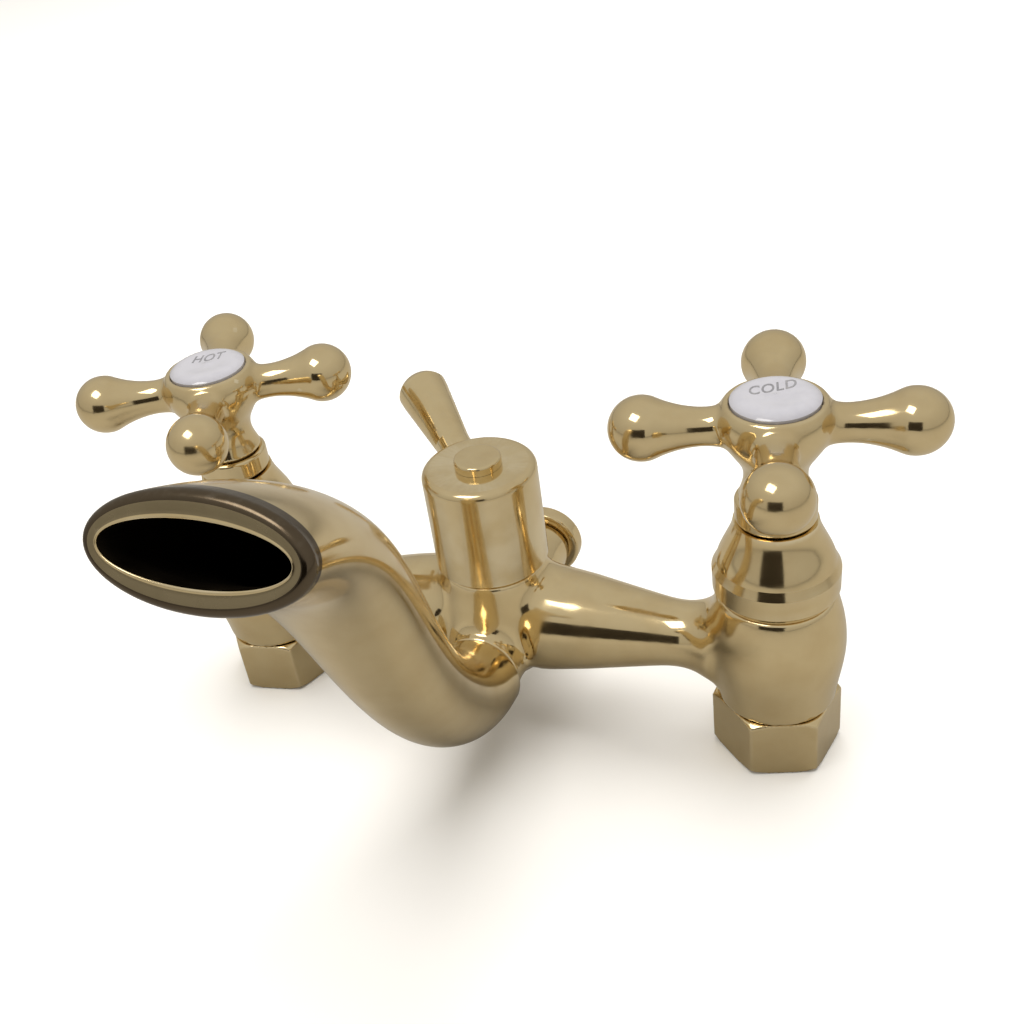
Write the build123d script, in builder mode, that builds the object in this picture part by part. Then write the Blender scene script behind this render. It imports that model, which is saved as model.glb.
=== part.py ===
from build123d import *
from math import cos, pi, radians, sin
import os

os.makedirs("parts", exist_ok=True)

# A wall-mounted bath and shower mixer. Heights (Z) are distances out from the wall plane,
# +X runs from the hot side to the cold side and -Y points down the wall, the way the spout pours.
# Every size is in millimetres.

# Driving sizes
INLET_CENTRES = 152.4
HALF_CENTRES = INLET_CENTRES / 2
GAP = 0.3
RUNNING = 0.08
PRESS = 0.05

# Hexagonal union nuts and the tails they hold
NUT_CORNER_R = 16.8
NUT_HEIGHT = 17.0
NUT_THREAD_R = 9.4
NUT_THREAD_L = 7.4
NUT_RELIEF_R = 10.3
NUT_LIP_Z = 12.7
NUT_CHAMFER_R = 15.2
NUT_CHAMFER_H = 1.4
TAIL_R = 7.97
TAIL_BORE_R = 5.8
TAIL_FLANGE_R = 9.0
TAIL_FLANGE_Z = 9.2
TAIL_FLANGE_H = 3.0
TAIL_TOP_Z = 24.4
WASHER_H = 1.6

# Valve shells of the casting
SHELL_BOTTOM_Z = NUT_HEIGHT + GAP
SHELL_TOP_Z = 50.5
SHELL_CURVE = [(15.1, SHELL_BOTTOM_Z), (15.5, 21), (17.35, 34), (16.2, 45), (14.5, SHELL_TOP_Z)]
SEAT_Z = 28.0
SEAT_PORT_R = 5.0
CHAMBER_R = 11.5

# Ceramic cartridges
DISC_R = 9.2
CARTRIDGE_R = CHAMBER_R - GAP
CARTRIDGE_BORE_R = 10.0
CARTRIDGE_FLOOR_Z = SEAT_Z + 1.3
CARTRIDGE_HEAD_Z = 46.0
CARTRIDGE_NECK_R = 8.0
CARTRIDGE_NECK_TOP_Z = 77.0
SEAL_H = 1.2
DISC_H = 2.8
STEM_R = 5.0
STEM_SPLINE_R = 4.2
STEM_SHOULDER_Z = 88.0
STEM_TOP_Z = 98.0
STEM_GROOVES_Z = (60.0, 65.0)
O_RING_H = 1.8
GROOVE_R = 3.8
DISC_PORT_R = 2.6
DISC_PORT_PLACE = 4.6
WINDOW_SIZE = 8.0

# Bonnets and lock rings
BONNET_BOTTOM_Z = SHELL_TOP_Z + GAP
BONNET_TOP_Z = 72.2
BONNET_INSIDE = [(8.3, BONNET_TOP_Z), (8.3, 69.5), (12.4, 58.5), (12.4, BONNET_BOTTOM_Z)]
BONNET_SKIRT = [(14.4, BONNET_BOTTOM_Z), (15.6, 52.6), (15.7, 58.2)]
BONNET_BELL = [(14.6, 60.4), (13.3, 64), (11.2, 68.6), (10.2, BONNET_TOP_Z)]
LOCK_RING_R = 9.8
LOCK_RING_Z = 72.5
LOCK_RING_TOP_Z = 78.6

# Cross handles
HANDLE_BOTTOM_Z = 79.0
HANDLE_ARM_Z = 98.2
HANDLE_TOP_Z = 104.6
BALL_R = 7.96
BALL_CENTRE = 30.6
BUTTON_R = 10.3
BUTTON_SEAT_Z = 102.7
SCREW_HEAD_Z = 99.6
SCREW_HEAD_H = 2.4
SCREW_HEAD_R = 4.4
SCREW_R = 2.45
SCREW_DEPTH = 9.0
BUTTON_TOP_Z = 106.3

# Barrel, bridge arms and ports
BARREL_TOP_Z = 50.2
BARREL_FLOOR_Z = 19.8
BARREL_CHAMBER_R = 10.5
BARREL_CURVE = [(0, 13.5), (12.6, 18.5), (16.3, 31.5), (15.3, 43), (14.2, BARREL_TOP_Z)]
ARM_Z = 31.75
ARM_CURVE = [(12, 15.3), (20, 14.3), (31, 12.3), (44, 9.9), (52, 9.0), (57, 10.0), (61, 13.0)]
ARM_PASSAGE_R = 4.0
ARM_PASSAGE_Z = 33.5
PORT_R = 3.6
PORT_Z = 25.5

# Shower outlet at the top of the barrel
OUTLET_Z = 28.0
OUTLET_NECK_R = 8.4
OUTLET_FACE_Y = 36.5
OUTLET_COLLAR_R = 10.9
OUTLET_COLLAR_L = 5.4
COLLAR_ROUND = 1.2
OUTLET_THREAD_R = 9.3
OUTLET_THREAD_L = 4.6
OUTLET_BORE_R = 5.0
OUTLET_SOCKET_R = 7.2
OUTLET_SOCKET_L = 8.0

# Diverter
SLEEVE_R = BARREL_CHAMBER_R - 0.1
SLEEVE_BORE_R = 8.5
SLEEVE_TOP_Z = 40.5
PLUG_R = SLEEVE_BORE_R - RUNNING
PLUG_TOP_Z = 29.3
PLUG_BORE_R = 5.6
SPOOL_PORT_R = 3.2
POST_R = 2.4
POST_TOP_Z = 47.5
DIVERTER_STEM_Z = 42.0
DIVERTER_STEM_TOP_Z = 76.0
DIVERTER_SHOULDER_Z = 66.0
DIVERTER_GROOVES_Z = (45.0, 48.5)
GLAND_BOTTOM_Z = 41.0
GLAND_HEX_R = 12.0
GLAND_HEX_TOP_Z = 56.0
GLAND_TOP_Z = 60.0
HUB_R = 15.3
HUB_BOTTOM_Z = BARREL_TOP_Z + GAP + 0.3
HUB_TOP_Z = 80.3
HUB_CAVITY_R = 12.8
HUB_CAVITY_TOP_Z = 62.0
CAP_R = 6.3
CAP_TOP_Z = 82.8
LEVER_TURN = 132.6
LEVER_TILT = 17.5
LEVER_ROOT_R = 13.0
LEVER_ROOT_Z = 74.0
LEVER_NECK_R = 4.9
LEVER_NECK_L = 8.0
LEVER_END_R = 7.1
LEVER_LENGTH = 34.0

# Spout
SPOUT_ROOT_Y = -19.3
SPOUT_ROOT_Z = 25.5
SPOUT_ROOT_R = 12.0
SPOUT_MOUTH = (0, -115.3, 135.6)
SPOUT_MOUTH_W = 23.2
SPOUT_MOUTH_H = 11.0
SPOUT_OPENING_W = 19.4
SPOUT_OPENING_H = 5.8
SPOUT_SPINE = [(0, -48, SPOUT_ROOT_Z), (0, -70, 68), (0, -69.5, 100.5), (0, -81.1, 119.7)]
NIPPLE_R = 7.9
NIPPLE_BORE_R = 5.5
BOSS_R = 10.8
SPOUT_BOSS_FLOOR_Y = -12.0
SPOUT_SOCKET_L = 8.0
SPOUT_RING_R = 9.8
ROOT_ROUND = 2.0
LIP_ROUND = 2.0
SPOUT_WALL = 2.6
SPOUT_SECTIONS = 4
BORE_START = 0.06
LIP_START = 0.72
SET_SCREW_R = 1.9
SET_SCREW_L = 4.0
SET_SCREW_KEY_R = 1.2
SET_SCREW_Y = -24.5

# Hot side, then cold side: name, place on X, turn of the nut's flats, turn of the cross.
VALVES = [("hot", -HALF_CENTRES, 8.1, 23.35), ("cold", HALF_CENTRES, 16.6, 10.5)]
BALL_TURNS = (0, 90, 180, 270)


def upright(x):
    """Plane through the upright axis at x, with its local Y up."""
    return Plane(origin=(x, 0, 0), x_dir=(1, 0, 0), z_dir=(0, -1, 0))


def forward(z):
    """Plane through the front-to-back axis at height z, with its local X along +Y and Y up."""
    return Plane(origin=(0, 0, z), x_dir=(0, 1, 0), z_dir=(1, 0, 0))


def turned(plane, axis, straight, curve=(), mode=Mode.ADD):
    """Revolve an outline: a smooth curve if given, closed by straight lines."""
    with BuildSketch(plane) as outline:
        with BuildLine():
            if curve:
                Spline(*curve)
                Polyline(curve[-1], *straight, curve[0])
            else:
                Polyline(*straight, close=True)
        make_face()
    revolve(outline.sketch, axis=axis, mode=mode)


def turned_up(x, straight, curve=(), mode=Mode.ADD):
    """Revolve a (radius, height) outline about the upright axis at x."""
    turned(upright(x), Axis((x, 0, 0), (0, 0, 1)), straight, curve, mode)


def tube_up(x, low, high, radius, bore=0.0, mode=Mode.ADD):
    """A plain upright tube, or a rod where bore is 0, at x."""
    turned_up(x, [(bore, low), (radius, low), (radius, high), (bore, high)], mode=mode)


def tube_along_y(z, near, far, radius, bore=0.0, mode=Mode.ADD):
    """A plain tube or rod along Y at height z."""
    outline = [(near, bore), (near, radius), (far, radius), (far, bore)]
    turned(forward(z), Axis((0, 0, z), (0, 1, 0)), outline, mode=mode)


def hexagon(x, low, high, corner_r, turn):
    """An upright hexagonal prism with one corner at the angle turn."""
    with BuildSketch(Plane(origin=(x, 0, low), z_dir=(0, 0, 1))) as section:
        RegularPolygon(radius=corner_r, side_count=6, rotation=turn)
    extrude(section.sketch, amount=high - low)


def save(piece, name):
    """Label a finished piece and write its STEP file."""
    piece.part.label = name
    export_step(piece.part, f"parts/{name}.step")


# Casting: barrel, two bridge arms, two valve shells, spout boss and outlet neck
with BuildPart() as mixer_body:
    turned_up(0, [(0, BARREL_TOP_Z)], curve=BARREL_CURVE)
    for side in (-1, 1):
        along = Plane(origin=(0, 0, ARM_Z), x_dir=(side, 0, 0), z_dir=(0, -side, 0))
        ends = [(ARM_CURVE[-1][0], 0), (ARM_CURVE[0][0], 0)]
        turned(along, Axis((0, 0, ARM_Z), (1, 0, 0)), ends, curve=ARM_CURVE)
    for name, x, nut_turn, handle_turn in VALVES:
        turned_up(x, [(0, SHELL_TOP_Z), (0, SHELL_BOTTOM_Z)], curve=SHELL_CURVE)
    tube_along_y(SPOUT_ROOT_Z, -BARREL_CHAMBER_R, SPOUT_ROOT_Y + GAP, BOSS_R)
    neck = [(10, 0), (10, 11.0), (OUTLET_FACE_Y, OUTLET_NECK_R), (OUTLET_FACE_Y, 0)]
    turned(forward(OUTLET_Z), Axis((0, 0, OUTLET_Z), (0, 1, 0)), neck)
    # waterways
    with BuildSketch(Plane(origin=(-HALF_CENTRES, 0, ARM_PASSAGE_Z), z_dir=(1, 0, 0))) as passage:
        Circle(ARM_PASSAGE_R)
    extrude(passage.sketch, amount=INLET_CENTRES, mode=Mode.SUBTRACT)
    for name, x, nut_turn, handle_turn in VALVES:
        tube_up(x, SHELL_BOTTOM_Z - 1, TAIL_TOP_Z + GAP, TAIL_R + PRESS, mode=Mode.SUBTRACT)
        tube_up(x, SHELL_BOTTOM_Z, SEAT_Z + 1, SEAT_PORT_R, mode=Mode.SUBTRACT)
        tube_up(x, SEAT_Z, SHELL_TOP_Z + 1, CHAMBER_R, mode=Mode.SUBTRACT)
    tube_up(0, BARREL_FLOOR_Z, BARREL_TOP_Z + 1, BARREL_CHAMBER_R, mode=Mode.SUBTRACT)
    tube_along_y(PORT_Z, SPOUT_ROOT_Y - 1, 16, PORT_R, mode=Mode.SUBTRACT)
    tube_along_y(SPOUT_ROOT_Z, SPOUT_ROOT_Y - 1, SPOUT_BOSS_FLOOR_Y, NIPPLE_R + PRESS, mode=Mode.SUBTRACT)
    tube_along_y(OUTLET_Z, 13, OUTLET_FACE_Y + 1, OUTLET_BORE_R, mode=Mode.SUBTRACT)
    socket_start = OUTLET_FACE_Y - OUTLET_SOCKET_L
    tube_along_y(OUTLET_Z, socket_start, OUTLET_FACE_Y + 1, OUTLET_SOCKET_R + PRESS, mode=Mode.SUBTRACT)
save(mixer_body, "mixer_body")

# Shower outlet: collar with a female thread, on a spigot screwed into the casting
with BuildPart() as shower_outlet:
    spigot_start = OUTLET_FACE_Y - OUTLET_SOCKET_L + GAP
    tube_along_y(OUTLET_Z, spigot_start, OUTLET_FACE_Y, OUTLET_SOCKET_R, OUTLET_BORE_R)
    collar_end = OUTLET_FACE_Y + OUTLET_COLLAR_L
    tube_along_y(OUTLET_Z, OUTLET_FACE_Y, collar_end, OUTLET_COLLAR_R, OUTLET_BORE_R)
    rims = shower_outlet.edges().filter_by(GeomType.CIRCLE).sort_by(SortBy.RADIUS)[-2:]
    fillet(rims, radius=COLLAR_ROUND)
    thread_start = collar_end - OUTLET_THREAD_L
    tube_along_y(OUTLET_Z, thread_start, collar_end + 1, OUTLET_THREAD_R, mode=Mode.SUBTRACT)
save(shower_outlet, "shower_outlet")


def spout_plane(at):
    """Section plane of the spout at a fraction of its spine."""
    return Plane(origin=spine @ at, x_dir=(1, 0, 0), z_dir=spine % at)


# Spout: a swan-necked tube that widens into a flat oval mouth
spine = Bezier((0, SPOUT_ROOT_Y, SPOUT_ROOT_Z), *SPOUT_SPINE, SPOUT_MOUTH)


def spout_half_sizes(at):
    """Half width and half height of the spout's outside at a fraction of its spine."""
    half_width = SPOUT_ROOT_R + (SPOUT_MOUTH_W - SPOUT_ROOT_R) * at**1.8
    half_height = SPOUT_ROOT_R + sin(pi * at) - (SPOUT_ROOT_R - SPOUT_MOUTH_H) * at
    return half_width, half_height


def bore_half_sizes(at):
    """Half width and half height of the spout's waterway, whose walls thicken to the lip."""
    half_width, half_height = spout_half_sizes(at)
    lip = max(0, (at - LIP_START) / (1 - LIP_START)) ** 2
    wide = half_width - SPOUT_WALL - lip * (SPOUT_MOUTH_W - SPOUT_WALL - SPOUT_OPENING_W)
    high = half_height - SPOUT_WALL - lip * (SPOUT_MOUTH_H - SPOUT_WALL - SPOUT_OPENING_H)
    return wide, high


def sweep_ovals(first, half_sizes, mode=Mode.ADD):
    """Sweep oval sections from a fraction of the spine to the mouth."""
    sections = []
    for step in range(SPOUT_SECTIONS + 1):
        at = first + (1 - first) * step / SPOUT_SECTIONS
        half_width, half_height = half_sizes(at)
        with BuildSketch(spout_plane(at)) as section:
            Ellipse(half_width, half_height)
        sections.append(section.sketch)
    sweep(sections, path=spine.trim(first, 1), multisection=True, mode=mode)


with BuildPart() as spout:
    sweep_ovals(0, spout_half_sizes)
    root_rim = spout.edges().filter_by_position(Axis.Y, SPOUT_ROOT_Y - 0.01, SPOUT_ROOT_Y + 0.01)
    fillet(root_rim, radius=ROOT_ROUND)
    mouth_face = spout.faces().filter_by(GeomType.PLANE).sort_by(Axis.Y)[0]
    fillet(mouth_face.edges(), radius=LIP_ROUND)
    sweep_ovals(BORE_START, bore_half_sizes, mode=Mode.SUBTRACT)
    socket_end = SPOUT_ROOT_Y - SPOUT_SOCKET_L
    tube_along_y(SPOUT_ROOT_Z, socket_end, SPOUT_ROOT_Y + 1, NIPPLE_R + PRESS, mode=Mode.SUBTRACT)
    tube_along_y(SPOUT_ROOT_Z, socket_end - 4, SPOUT_ROOT_Y, NIPPLE_BORE_R, mode=Mode.SUBTRACT)
    ring_seat = SPOUT_ROOT_Y - O_RING_H - 0.2
    tube_along_y(SPOUT_ROOT_Z, ring_seat, SPOUT_ROOT_Y + 1, SPOUT_RING_R + PRESS, mode=Mode.SUBTRACT)
    with BuildSketch(Plane(origin=(0, SET_SCREW_Y, SPOUT_ROOT_Z), z_dir=(0, 0, -1))) as screw_hole:
        Circle(SET_SCREW_R + PRESS)
    extrude(screw_hole.sketch, amount=2 * SPOUT_ROOT_R, mode=Mode.SUBTRACT)
save(spout, "spout")

with BuildPart() as spout_nipple:
    nipple_end = SPOUT_ROOT_Y - SPOUT_SOCKET_L + GAP
    tube_along_y(SPOUT_ROOT_Z, nipple_end, SPOUT_BOSS_FLOOR_Y - GAP, NIPPLE_R, NIPPLE_BORE_R)
save(spout_nipple, "spout_nipple")

with BuildPart() as spout_o_ring:
    tube_along_y(SPOUT_ROOT_Z, SPOUT_ROOT_Y - O_RING_H, SPOUT_ROOT_Y, SPOUT_RING_R, NIPPLE_R + PRESS)
    fillet(spout_o_ring.edges().filter_by(GeomType.CIRCLE), radius=0.6)
save(spout_o_ring, "spout_o_ring")

with BuildPart() as spout_set_screw:
    screw_top = SPOUT_ROOT_Z - NIPPLE_R - 0.1
    with BuildSketch(Plane(origin=(0, SET_SCREW_Y, screw_top), z_dir=(0, 0, -1))) as shank:
        Circle(SET_SCREW_R)
    extrude(shank.sketch, amount=SET_SCREW_L)
    with BuildSketch(Plane(origin=(0, SET_SCREW_Y, screw_top - SET_SCREW_L), z_dir=(0, 0, 1))) as key:
        RegularPolygon(radius=SET_SCREW_KEY_R, side_count=6)
    extrude(key.sketch, amount=SET_SCREW_L / 2, mode=Mode.SUBTRACT)
save(spout_set_screw, "spout_set_screw")


# Hot and cold sides: union nut, inlet tail and washer
for name, x, nut_turn, handle_turn in VALVES:
    with BuildPart() as union_nut:
        hexagon(x, 0, NUT_HEIGHT, NUT_CORNER_R, nut_turn)
        corner = NUT_CORNER_R + 0.5
        limits = [(0, 0), (NUT_CHAMFER_R, 0), (corner, NUT_CHAMFER_H), (corner, NUT_HEIGHT - NUT_CHAMFER_H)]
        limits += [(NUT_CHAMFER_R, NUT_HEIGHT), (0, NUT_HEIGHT)]
        turned_up(x, limits, mode=Mode.INTERSECT)
        tube_up(x, -1, NUT_THREAD_L, NUT_THREAD_R, mode=Mode.SUBTRACT)
        tube_up(x, NUT_THREAD_L, NUT_LIP_Z, NUT_RELIEF_R, mode=Mode.SUBTRACT)
        tube_up(x, 0, NUT_HEIGHT + 1, TAIL_R + RUNNING, mode=Mode.SUBTRACT)
    save(union_nut, f"{name}_union_nut")

    with BuildPart() as inlet_tail:
        tube_up(x, TAIL_FLANGE_Z, TAIL_FLANGE_Z + TAIL_FLANGE_H, TAIL_FLANGE_R, TAIL_BORE_R)
        tube_up(x, TAIL_FLANGE_Z, TAIL_TOP_Z, TAIL_R, TAIL_BORE_R)
    save(inlet_tail, f"{name}_inlet_tail")

    with BuildPart() as inlet_washer:
        tube_up(x, TAIL_FLANGE_Z - WASHER_H, TAIL_FLANGE_Z, TAIL_FLANGE_R - 0.1, TAIL_BORE_R)
    save(inlet_washer, f"{name}_inlet_washer")

# Hot and cold sides: bell bonnets and lock rings
for name, x, nut_turn, handle_turn in VALVES:
    with BuildPart() as bonnet:
        turned_up(x, BONNET_INSIDE + BONNET_SKIRT, curve=BONNET_BELL)
    save(bonnet, f"{name}_bonnet")

    with BuildPart() as lock_ring:
        tube_up(x, LOCK_RING_Z, LOCK_RING_TOP_Z, LOCK_RING_R)
        fillet(lock_ring.edges().filter_by(GeomType.CIRCLE), radius=1.0)
        tube_up(x, LOCK_RING_Z - 1, LOCK_RING_TOP_Z + 1, CARTRIDGE_NECK_R + PRESS, mode=Mode.SUBTRACT)
    save(lock_ring, f"{name}_lock_ring")

# Hot and cold sides: quarter-turn ceramic cartridges
FIXED_DISC_Z = CARTRIDGE_FLOOR_Z
MOVING_DISC_Z = FIXED_DISC_Z + DISC_H + GAP
FORK_Z = MOVING_DISC_Z + DISC_H
FORK_H = 3.0


def ported_disc(x, low, port_places):
    """A ceramic disc with a round port at each place, counted from its centre."""
    tube_up(x, low, low + DISC_H, DISC_R)
    with BuildSketch(Plane(origin=(x, 0, low), z_dir=(0, 0, 1))) as ports:
        with Locations(*port_places):
            Circle(DISC_PORT_R)
    extrude(ports.sketch, amount=DISC_H, mode=Mode.SUBTRACT)


for name, x, nut_turn, handle_turn in VALVES:
    with BuildPart() as seat_seal:
        tube_up(x, SEAT_Z, SEAT_Z + SEAL_H, DISC_R, SEAT_PORT_R)
    save(seat_seal, f"{name}_seat_seal")

    with BuildPart() as cartridge_body:
        tube_up(x, CARTRIDGE_FLOOR_Z, CARTRIDGE_HEAD_Z, CARTRIDGE_R, CARTRIDGE_BORE_R)
        tube_up(x, CARTRIDGE_HEAD_Z, SHELL_TOP_Z, CARTRIDGE_R, STEM_R + RUNNING)
        tube_up(x, SHELL_TOP_Z, CARTRIDGE_NECK_TOP_Z, CARTRIDGE_NECK_R, STEM_R + RUNNING)
        with BuildSketch(Plane(origin=(x, 0, MOVING_DISC_Z), z_dir=(0, 0, 1))) as windows:
            Rectangle(3 * CARTRIDGE_R, WINDOW_SIZE)
        extrude(windows.sketch, amount=WINDOW_SIZE, mode=Mode.SUBTRACT)
    save(cartridge_body, f"{name}_cartridge_body")

    with BuildPart() as fixed_disc:
        ported_disc(x, FIXED_DISC_Z, [(-DISC_PORT_PLACE, 0), (DISC_PORT_PLACE, 0)])
    save(fixed_disc, f"{name}_fixed_disc")

    with BuildPart() as moving_disc:
        ported_disc(x, MOVING_DISC_Z, [(0, -DISC_PORT_PLACE), (0, DISC_PORT_PLACE)])
    save(moving_disc, f"{name}_moving_disc")

    with BuildPart() as stem:
        tube_up(x, FORK_Z, FORK_Z + FORK_H, DISC_R - 0.1)
        tube_up(x, FORK_Z, STEM_SHOULDER_Z, STEM_R)
        tube_up(x, STEM_SHOULDER_Z, STEM_TOP_Z, STEM_SPLINE_R)
        for groove_z in STEM_GROOVES_Z:
            tube_up(x, groove_z, groove_z + O_RING_H, STEM_R + 1, GROOVE_R, mode=Mode.SUBTRACT)
        tube_up(x, STEM_TOP_Z - SCREW_DEPTH, STEM_TOP_Z + 1, SCREW_R + PRESS, mode=Mode.SUBTRACT)
    save(stem, f"{name}_stem")

    with BuildPart() as stem_o_rings:
        for groove_z in STEM_GROOVES_Z:
            tube_up(x, groove_z + 0.1, groove_z + O_RING_H - 0.1, STEM_R, GROOVE_R + PRESS)
    save(stem_o_rings, f"{name}_stem_o_rings")

# Hot and cold sides: cross handles, their screws and index buttons
HANDLE_FOOT = [(8.9, 79.3), (8.2, 81.2), (7.5, 84.4), (7.8, 87.4)]
HANDLE_CUP = [(10.1, 91.6), (13.0, 97), (13.5, 100.2), (12.6, 103.2)]
CLUB_CURVE = [(9, 5.6), (13, 4.9), (17, 4.7), (22, 5.4), (26.5, 6.9), (BALL_CENTRE, BALL_R)]
CLUB_END = (BALL_CENTRE + BALL_R, 0)
for name, x, nut_turn, handle_turn in VALVES:
    with BuildPart() as handle:
        rim = [(11.6, HANDLE_TOP_Z), (0, HANDLE_TOP_Z), (0, HANDLE_BOTTOM_Z), (8.6, HANDLE_BOTTOM_Z)]
        turned_up(x, rim, curve=HANDLE_FOOT + HANDLE_CUP)
        for turn in BALL_TURNS:
            way = (cos(radians(handle_turn + turn)), sin(radians(handle_turn + turn)), 0)
            with BuildSketch(Plane(origin=(x, 0, HANDLE_ARM_Z), x_dir=way, z_dir=(0, 0, 1))) as club:
                with BuildLine():
                    Spline(*CLUB_CURVE, tangents=((1, -0.3), (1, 0)))
                    RadiusArc(CLUB_CURVE[-1], CLUB_END, BALL_R)
                    Polyline(CLUB_END, (CLUB_CURVE[0][0], 0), CLUB_CURVE[0])
                make_face()
            revolve(club.sketch, axis=Axis((x, 0, HANDLE_ARM_Z), way))
        tube_up(x, HANDLE_BOTTOM_Z - 1, STEM_SHOULDER_Z + 0.1, STEM_R + PRESS, mode=Mode.SUBTRACT)
        tube_up(x, STEM_SHOULDER_Z, STEM_TOP_Z + 0.1, STEM_SPLINE_R + PRESS, mode=Mode.SUBTRACT)
        tube_up(x, STEM_TOP_Z, HANDLE_TOP_Z, SCREW_R + 0.1, mode=Mode.SUBTRACT)
        tube_up(x, SCREW_HEAD_Z, HANDLE_TOP_Z, SCREW_HEAD_R + 0.5, mode=Mode.SUBTRACT)
        tube_up(x, BUTTON_SEAT_Z, HANDLE_TOP_Z + 1, BUTTON_R + PRESS, mode=Mode.SUBTRACT)
    save(handle, f"{name}_handle")

    with BuildPart() as handle_screw:
        tube_up(x, SCREW_HEAD_Z, SCREW_HEAD_Z + SCREW_HEAD_H, SCREW_HEAD_R)
        tube_up(x, STEM_TOP_Z - SCREW_DEPTH + 1, SCREW_HEAD_Z, SCREW_R)
        with BuildSketch(Plane(origin=(x, 0, SCREW_HEAD_Z + SCREW_HEAD_H / 2), z_dir=(0, 0, 1))) as slot:
            Rectangle(3 * SCREW_HEAD_R, 1.2)
        extrude(slot.sketch, amount=SCREW_HEAD_H, mode=Mode.SUBTRACT)
    save(handle_screw, f"{name}_handle_screw")

    with BuildPart() as index_button:
        spigot_z = BUTTON_SEAT_Z - 0.35
        spigot = [(0, spigot_z), (4.7, spigot_z), (4.7, BUTTON_SEAT_Z), (BUTTON_R, BUTTON_SEAT_Z)]
        rim_z = BUTTON_TOP_Z - 1.3
        dome = [(BUTTON_R, rim_z), (9.6, rim_z + 0.55), (5.2, BUTTON_TOP_Z - 0.2), (0, BUTTON_TOP_Z)]
        turned_up(x, spigot, curve=dome)
    save(index_button, f"{name}_index_button")

# Diverter inside the barrel
with BuildPart() as diverter_sleeve:
    tube_up(0, BARREL_FLOOR_Z + 0.1, SLEEVE_TOP_Z, SLEEVE_R, SLEEVE_BORE_R)
    with BuildSketch(Plane(origin=(-SLEEVE_R - 1, 0, ARM_PASSAGE_Z), z_dir=(1, 0, 0))) as inlets:
        Circle(ARM_PASSAGE_R)
    extrude(inlets.sketch, amount=2 * SLEEVE_R + 2, mode=Mode.SUBTRACT)
    tube_along_y(PORT_Z, -SLEEVE_R - 1, SLEEVE_R + 1, PORT_R, mode=Mode.SUBTRACT)
save(diverter_sleeve, "diverter_sleeve")

with BuildPart() as diverter_spool:
    plug_floor = BARREL_FLOOR_Z + 2.2
    web = POST_R + 0.6
    tube_up(0, BARREL_FLOOR_Z + 0.6, PLUG_TOP_Z, PLUG_R)
    tube_up(0, plug_floor, PLUG_TOP_Z + 1, PLUG_BORE_R, POST_R, mode=Mode.SUBTRACT)
    tube_up(0, plug_floor - 0.2, POST_TOP_Z, POST_R)
    tube_along_y(PORT_Z, -PLUG_R - 1, -web, SPOOL_PORT_R, mode=Mode.SUBTRACT)
    with BuildSketch(Plane(origin=(-web, 0, PORT_Z), z_dir=(-1, 0, 0))) as shower_window:
        Circle(SPOOL_PORT_R)
    extrude(shower_window.sketch, amount=PLUG_R, mode=Mode.SUBTRACT)
save(diverter_spool, "diverter_spool")

with BuildPart() as diverter_stem:
    tube_up(0, DIVERTER_STEM_Z, DIVERTER_SHOULDER_Z, STEM_R)
    tube_up(0, DIVERTER_SHOULDER_Z, DIVERTER_STEM_TOP_Z, STEM_SPLINE_R)
    tube_up(0, DIVERTER_STEM_Z - 1, POST_TOP_Z + GAP, POST_R + PRESS, mode=Mode.SUBTRACT)
    tube_up(0, DIVERTER_SHOULDER_Z + 1, DIVERTER_STEM_TOP_Z + 1, SCREW_R + PRESS, mode=Mode.SUBTRACT)
    for groove_z in DIVERTER_GROOVES_Z:
        tube_up(0, groove_z, groove_z + O_RING_H, STEM_R + 1, GROOVE_R, mode=Mode.SUBTRACT)
save(diverter_stem, "diverter_stem")

with BuildPart() as diverter_stem_o_rings:
    for groove_z in DIVERTER_GROOVES_Z:
        tube_up(0, groove_z + 0.1, groove_z + O_RING_H - 0.1, STEM_R, GROOVE_R + PRESS)
save(diverter_stem_o_rings, "diverter_stem_o_rings")

with BuildPart() as diverter_bonnet:
    tube_up(0, GLAND_BOTTOM_Z, BARREL_TOP_Z, SLEEVE_R)
    hexagon(0, BARREL_TOP_Z, GLAND_HEX_TOP_Z, GLAND_HEX_R, 15)
    tube_up(0, GLAND_HEX_TOP_Z, GLAND_TOP_Z, CARTRIDGE_NECK_R)
    tube_up(0, GLAND_BOTTOM_Z - 1, GLAND_TOP_Z + 1, STEM_R + RUNNING, mode=Mode.SUBTRACT)
save(diverter_bonnet, "diverter_bonnet")

# Diverter control: hub, lever and cap screw
flat_way = Vector(cos(radians(LEVER_TURN)), sin(radians(LEVER_TURN)), 0)
lever_root = flat_way * LEVER_ROOT_R + Vector(0, 0, LEVER_ROOT_Z)
lever_way = flat_way * cos(radians(LEVER_TILT)) + Vector(0, 0, sin(radians(LEVER_TILT)))
LEVER_PLANE = Plane(origin=lever_root, x_dir=lever_way, z_dir=flat_way.cross(Vector(0, 0, 1)))
LEVER_AXIS = Axis(lever_root, lever_way)

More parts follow.
